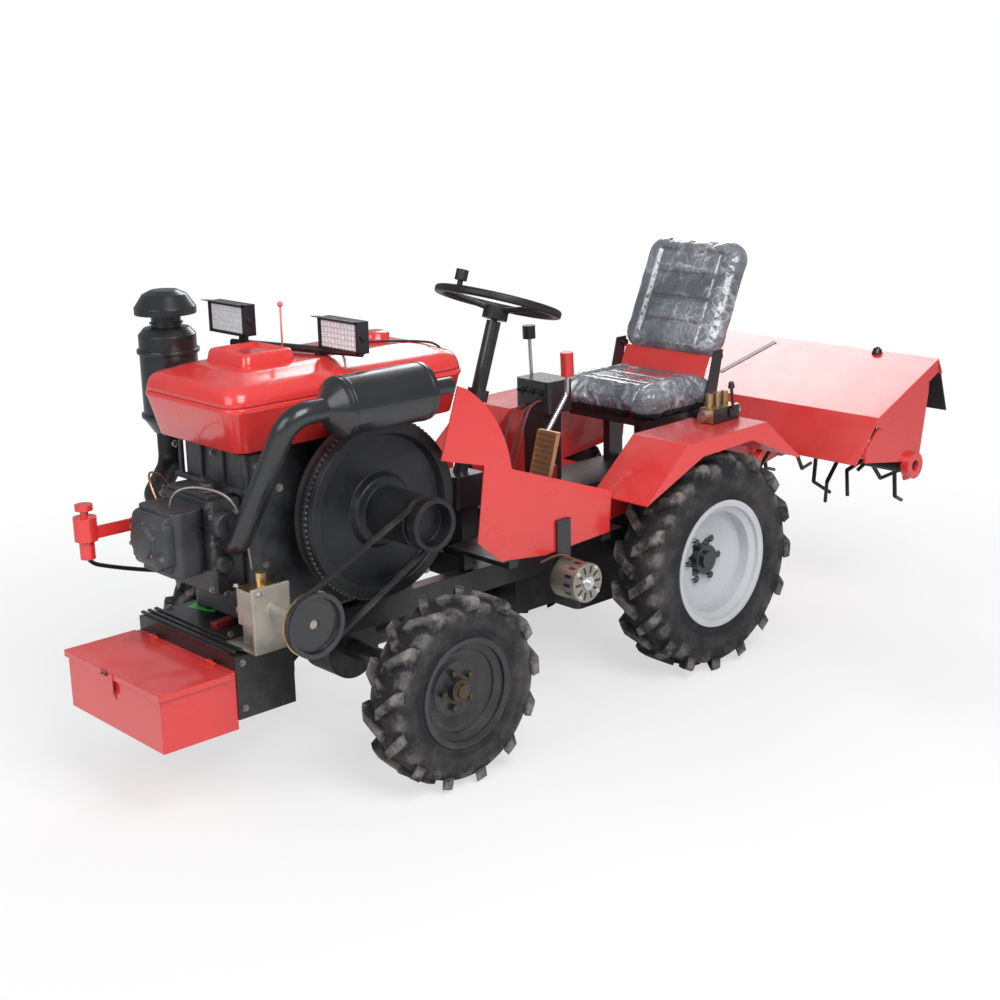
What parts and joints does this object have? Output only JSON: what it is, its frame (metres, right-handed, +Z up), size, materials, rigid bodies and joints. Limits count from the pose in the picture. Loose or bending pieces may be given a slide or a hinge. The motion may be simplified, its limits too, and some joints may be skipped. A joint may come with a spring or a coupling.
{
  "type": "four-wheel rotary tiller",
  "caption": "Small ride-on tractor with an open single-cylinder engine, lugged tyres, driver's seat and a raised rotary tiller hinged behind its rear axle.",
  "frame": {"origin": "on the floor, under the middle of the overall box", "axes": "+X forward, towards the toolbox, +Y to the driver's left, +Z up"},
  "size_m": [3.277, 1.2754, 1.428],
  "materials": {
    "red_paint": "glossy red enamel",
    "front_tyre": "matte",
    "rear_tyre": "matte",
    "black_rim": "satin",
    "silver_rim": "satin silver",
    "black_frame": "satin",
    "black_enamel": "gloss",
    "engine_grey": "satin grey enamel on cast iron",
    "flywheel_iron": "dark machined",
    "hose_rubber": "satin",
    "belt_rubber": "matte",
    "pump_aluminium": "cast",
    "alternator_aluminium": "cast",
    "lamp_lens": "clear ribbed",
    "wheel_plastic": "satin black",
    "lever_steel": "bright",
    "pedal_zinc": "yellow-passivated",
    "seat_vinyl": "grey vinyl under clear film",
    "valve_brass": "yellow-passivated",
    "tine_steel": "dark",
    "rod_chrome": "polished"
  },
  "bodies": {
    "machine": {"chassis_frame": "black_frame", "toolbox_body": "red_paint", "engine_block": "engine_grey", "cylinder_head": "engine_grey", "tank_hood": "red_paint", "air_cleaner": "black_enamel", "intake_hose": "hose_rubber", "exhaust_muffler": "black_enamel", "fuel_filter": "red_paint", "hydraulic_pump": "pump_aluminium", "drive_belt": "belt_rubber", "lamp_frame": "black_enamel", "lamp_lenses": "lamp_lens", "front_axle": "black_frame", "gearbox": "black_frame", "side_panels": "red_paint", "footboards": "black_frame", "fenders": "red_paint", "steering_column": "black_enamel", "console_box": "black_enamel", "control_levers": "lever_steel", "brake_pedal": "pedal_zinc", "seat_frame": "black_enamel", "seat_cushion": "seat_vinyl", "seat_backrest": "seat_vinyl", "hydraulic_valve": "valve_brass", "alternator": "alternator_aluminium"},
    "lid": {"toolbox_lid": "red_paint"},
    "left_knuckle": {"knuckle_left": "black_frame"},
    "right_knuckle": {"knuckle_right": "black_frame"},
    "track_rod": {"tie_rod": "black_frame"},
    "front_left_wheel": {"tyre_front_left": "front_tyre", "rim_front_left": "black_rim"},
    "front_right_wheel": {"tyre_front_right": "front_tyre", "rim_front_right": "black_rim"},
    "rear_left_wheel": {"tyre_rear_left": "rear_tyre", "rim_rear_left": "silver_rim"},
    "rear_right_wheel": {"tyre_rear_right": "rear_tyre", "rim_rear_right": "silver_rim"},
    "hand_wheel": {"steering_wheel": "wheel_plastic"},
    "engine_flywheel": {"flywheel": "flywheel_iron"},
    "small_pulley": {"pump_pulley": "black_enamel"},
    "tiller": {"tiller_frame": "red_paint", "tiller_hood": "red_paint", "tiller_flap": "hose_rubber"},
    "rotor": {"tiller_rotor": "tine_steel"},
    "cylinder": {"lift_barrel": "black_enamel"},
    "piston_rod": {"lift_rod": "rod_chrome"}
  },
  "joints": [
    {"name": "toolbox_lid_hinge", "type": "hinge", "parent": "machine", "child": "lid", "pos_m": [1.4008, 0, 0.4283], "axis": [0, -1, 0], "range_deg": [0, 85]},
    {"name": "steer_left", "type": "hinge", "parent": "machine", "child": "left_knuckle", "pos_m": [0.8225, 0.385, 0.29], "axis": [0, 0, 1], "range_deg": [-35, 35]},
    {"name": "steer_right", "type": "hinge", "parent": "machine", "child": "right_knuckle", "pos_m": [0.8225, -0.385, 0.29], "axis": [0, 0, 1], "range_deg": [-35, 35]},
    {"name": "tie_rod_pivot", "type": "hinge", "parent": "left_knuckle", "child": "track_rod", "pos_m": [0.6875, 0.385, 0.204], "axis": [0, 0, 1], "range_deg": [-35, 35]},
    {"name": "hand_wheel_turn", "type": "hinge", "parent": "machine", "child": "hand_wheel", "pos_m": [0.1345, 0, 1.262], "axis": [-0.3256, 0, 0.9455], "range_deg": [-352, 352]},
    {"name": "spin_front_left", "type": "hinge", "parent": "left_knuckle", "child": "front_left_wheel", "pos_m": [0.8225, 0.525, 0.29], "axis": [0, 1, 0], "continuous": true},
    {"name": "spin_front_right", "type": "hinge", "parent": "right_knuckle", "child": "front_right_wheel", "pos_m": [0.8225, -0.525, 0.29], "axis": [0, 1, 0], "continuous": true},
    {"name": "spin_rear_left", "type": "hinge", "parent": "machine", "child": "rear_left_wheel", "pos_m": [-0.4115, 0.44, 0.3825], "axis": [0, 1, 0], "continuous": true},
    {"name": "spin_rear_right", "type": "hinge", "parent": "machine", "child": "rear_right_wheel", "pos_m": [-0.4115, -0.44, 0.3825], "axis": [0, 1, 0], "continuous": true},
    {"name": "flywheel_spin", "type": "hinge", "parent": "machine", "child": "engine_flywheel", "pos_m": [0.8885, 0.325, 0.8], "axis": [0, 1, 0], "continuous": true},
    {"name": "pump_pulley_spin", "type": "hinge", "parent": "machine", "child": "small_pulley", "pos_m": [1.2905, 0.505, 0.6], "axis": [0, 1, 0], "continuous": true},
    {"name": "tiller_lift", "type": "hinge", "parent": "machine", "child": "tiller", "pos_m": [-0.6165, 0, 0.42], "axis": [0, -1, 0], "range_deg": [0, 33]},
    {"name": "rotor_spin", "type": "hinge", "parent": "tiller", "child": "rotor", "pos_m": [-1.3965, 0, 0.565], "axis": [0, 1, 0], "continuous": true},
    {"name": "cylinder_tilt", "type": "hinge", "parent": "machine", "child": "cylinder", "pos_m": [-0.6265, 0.095, 0.262], "axis": [0, -1, 0], "range_deg": [-1, 33]},
    {"name": "rod_slide", "type": "slide", "parent": "cylinder", "child": "piston_rod", "axis": [-0.8681, 0, 0.4965], "range_m": [-0.1, 0.001]}
  ],
  "couplings": [
    {"joint": "steer_right", "follows": "steer_left", "ratio": 1},
    {"joint": "tie_rod_pivot", "follows": "steer_left", "ratio": -1},
    {"joint": "hand_wheel_turn", "follows": "steer_left", "ratio": 10},
    {"joint": "pump_pulley_spin", "follows": "flywheel_spin", "ratio": 0.81132},
    {"joint": "cylinder_tilt", "follows": "tiller_lift", "ratio": 0.89099},
    {"joint": "rod_slide", "follows": "tiller_lift", "m_per_rad": -0.15311}
  ]
}
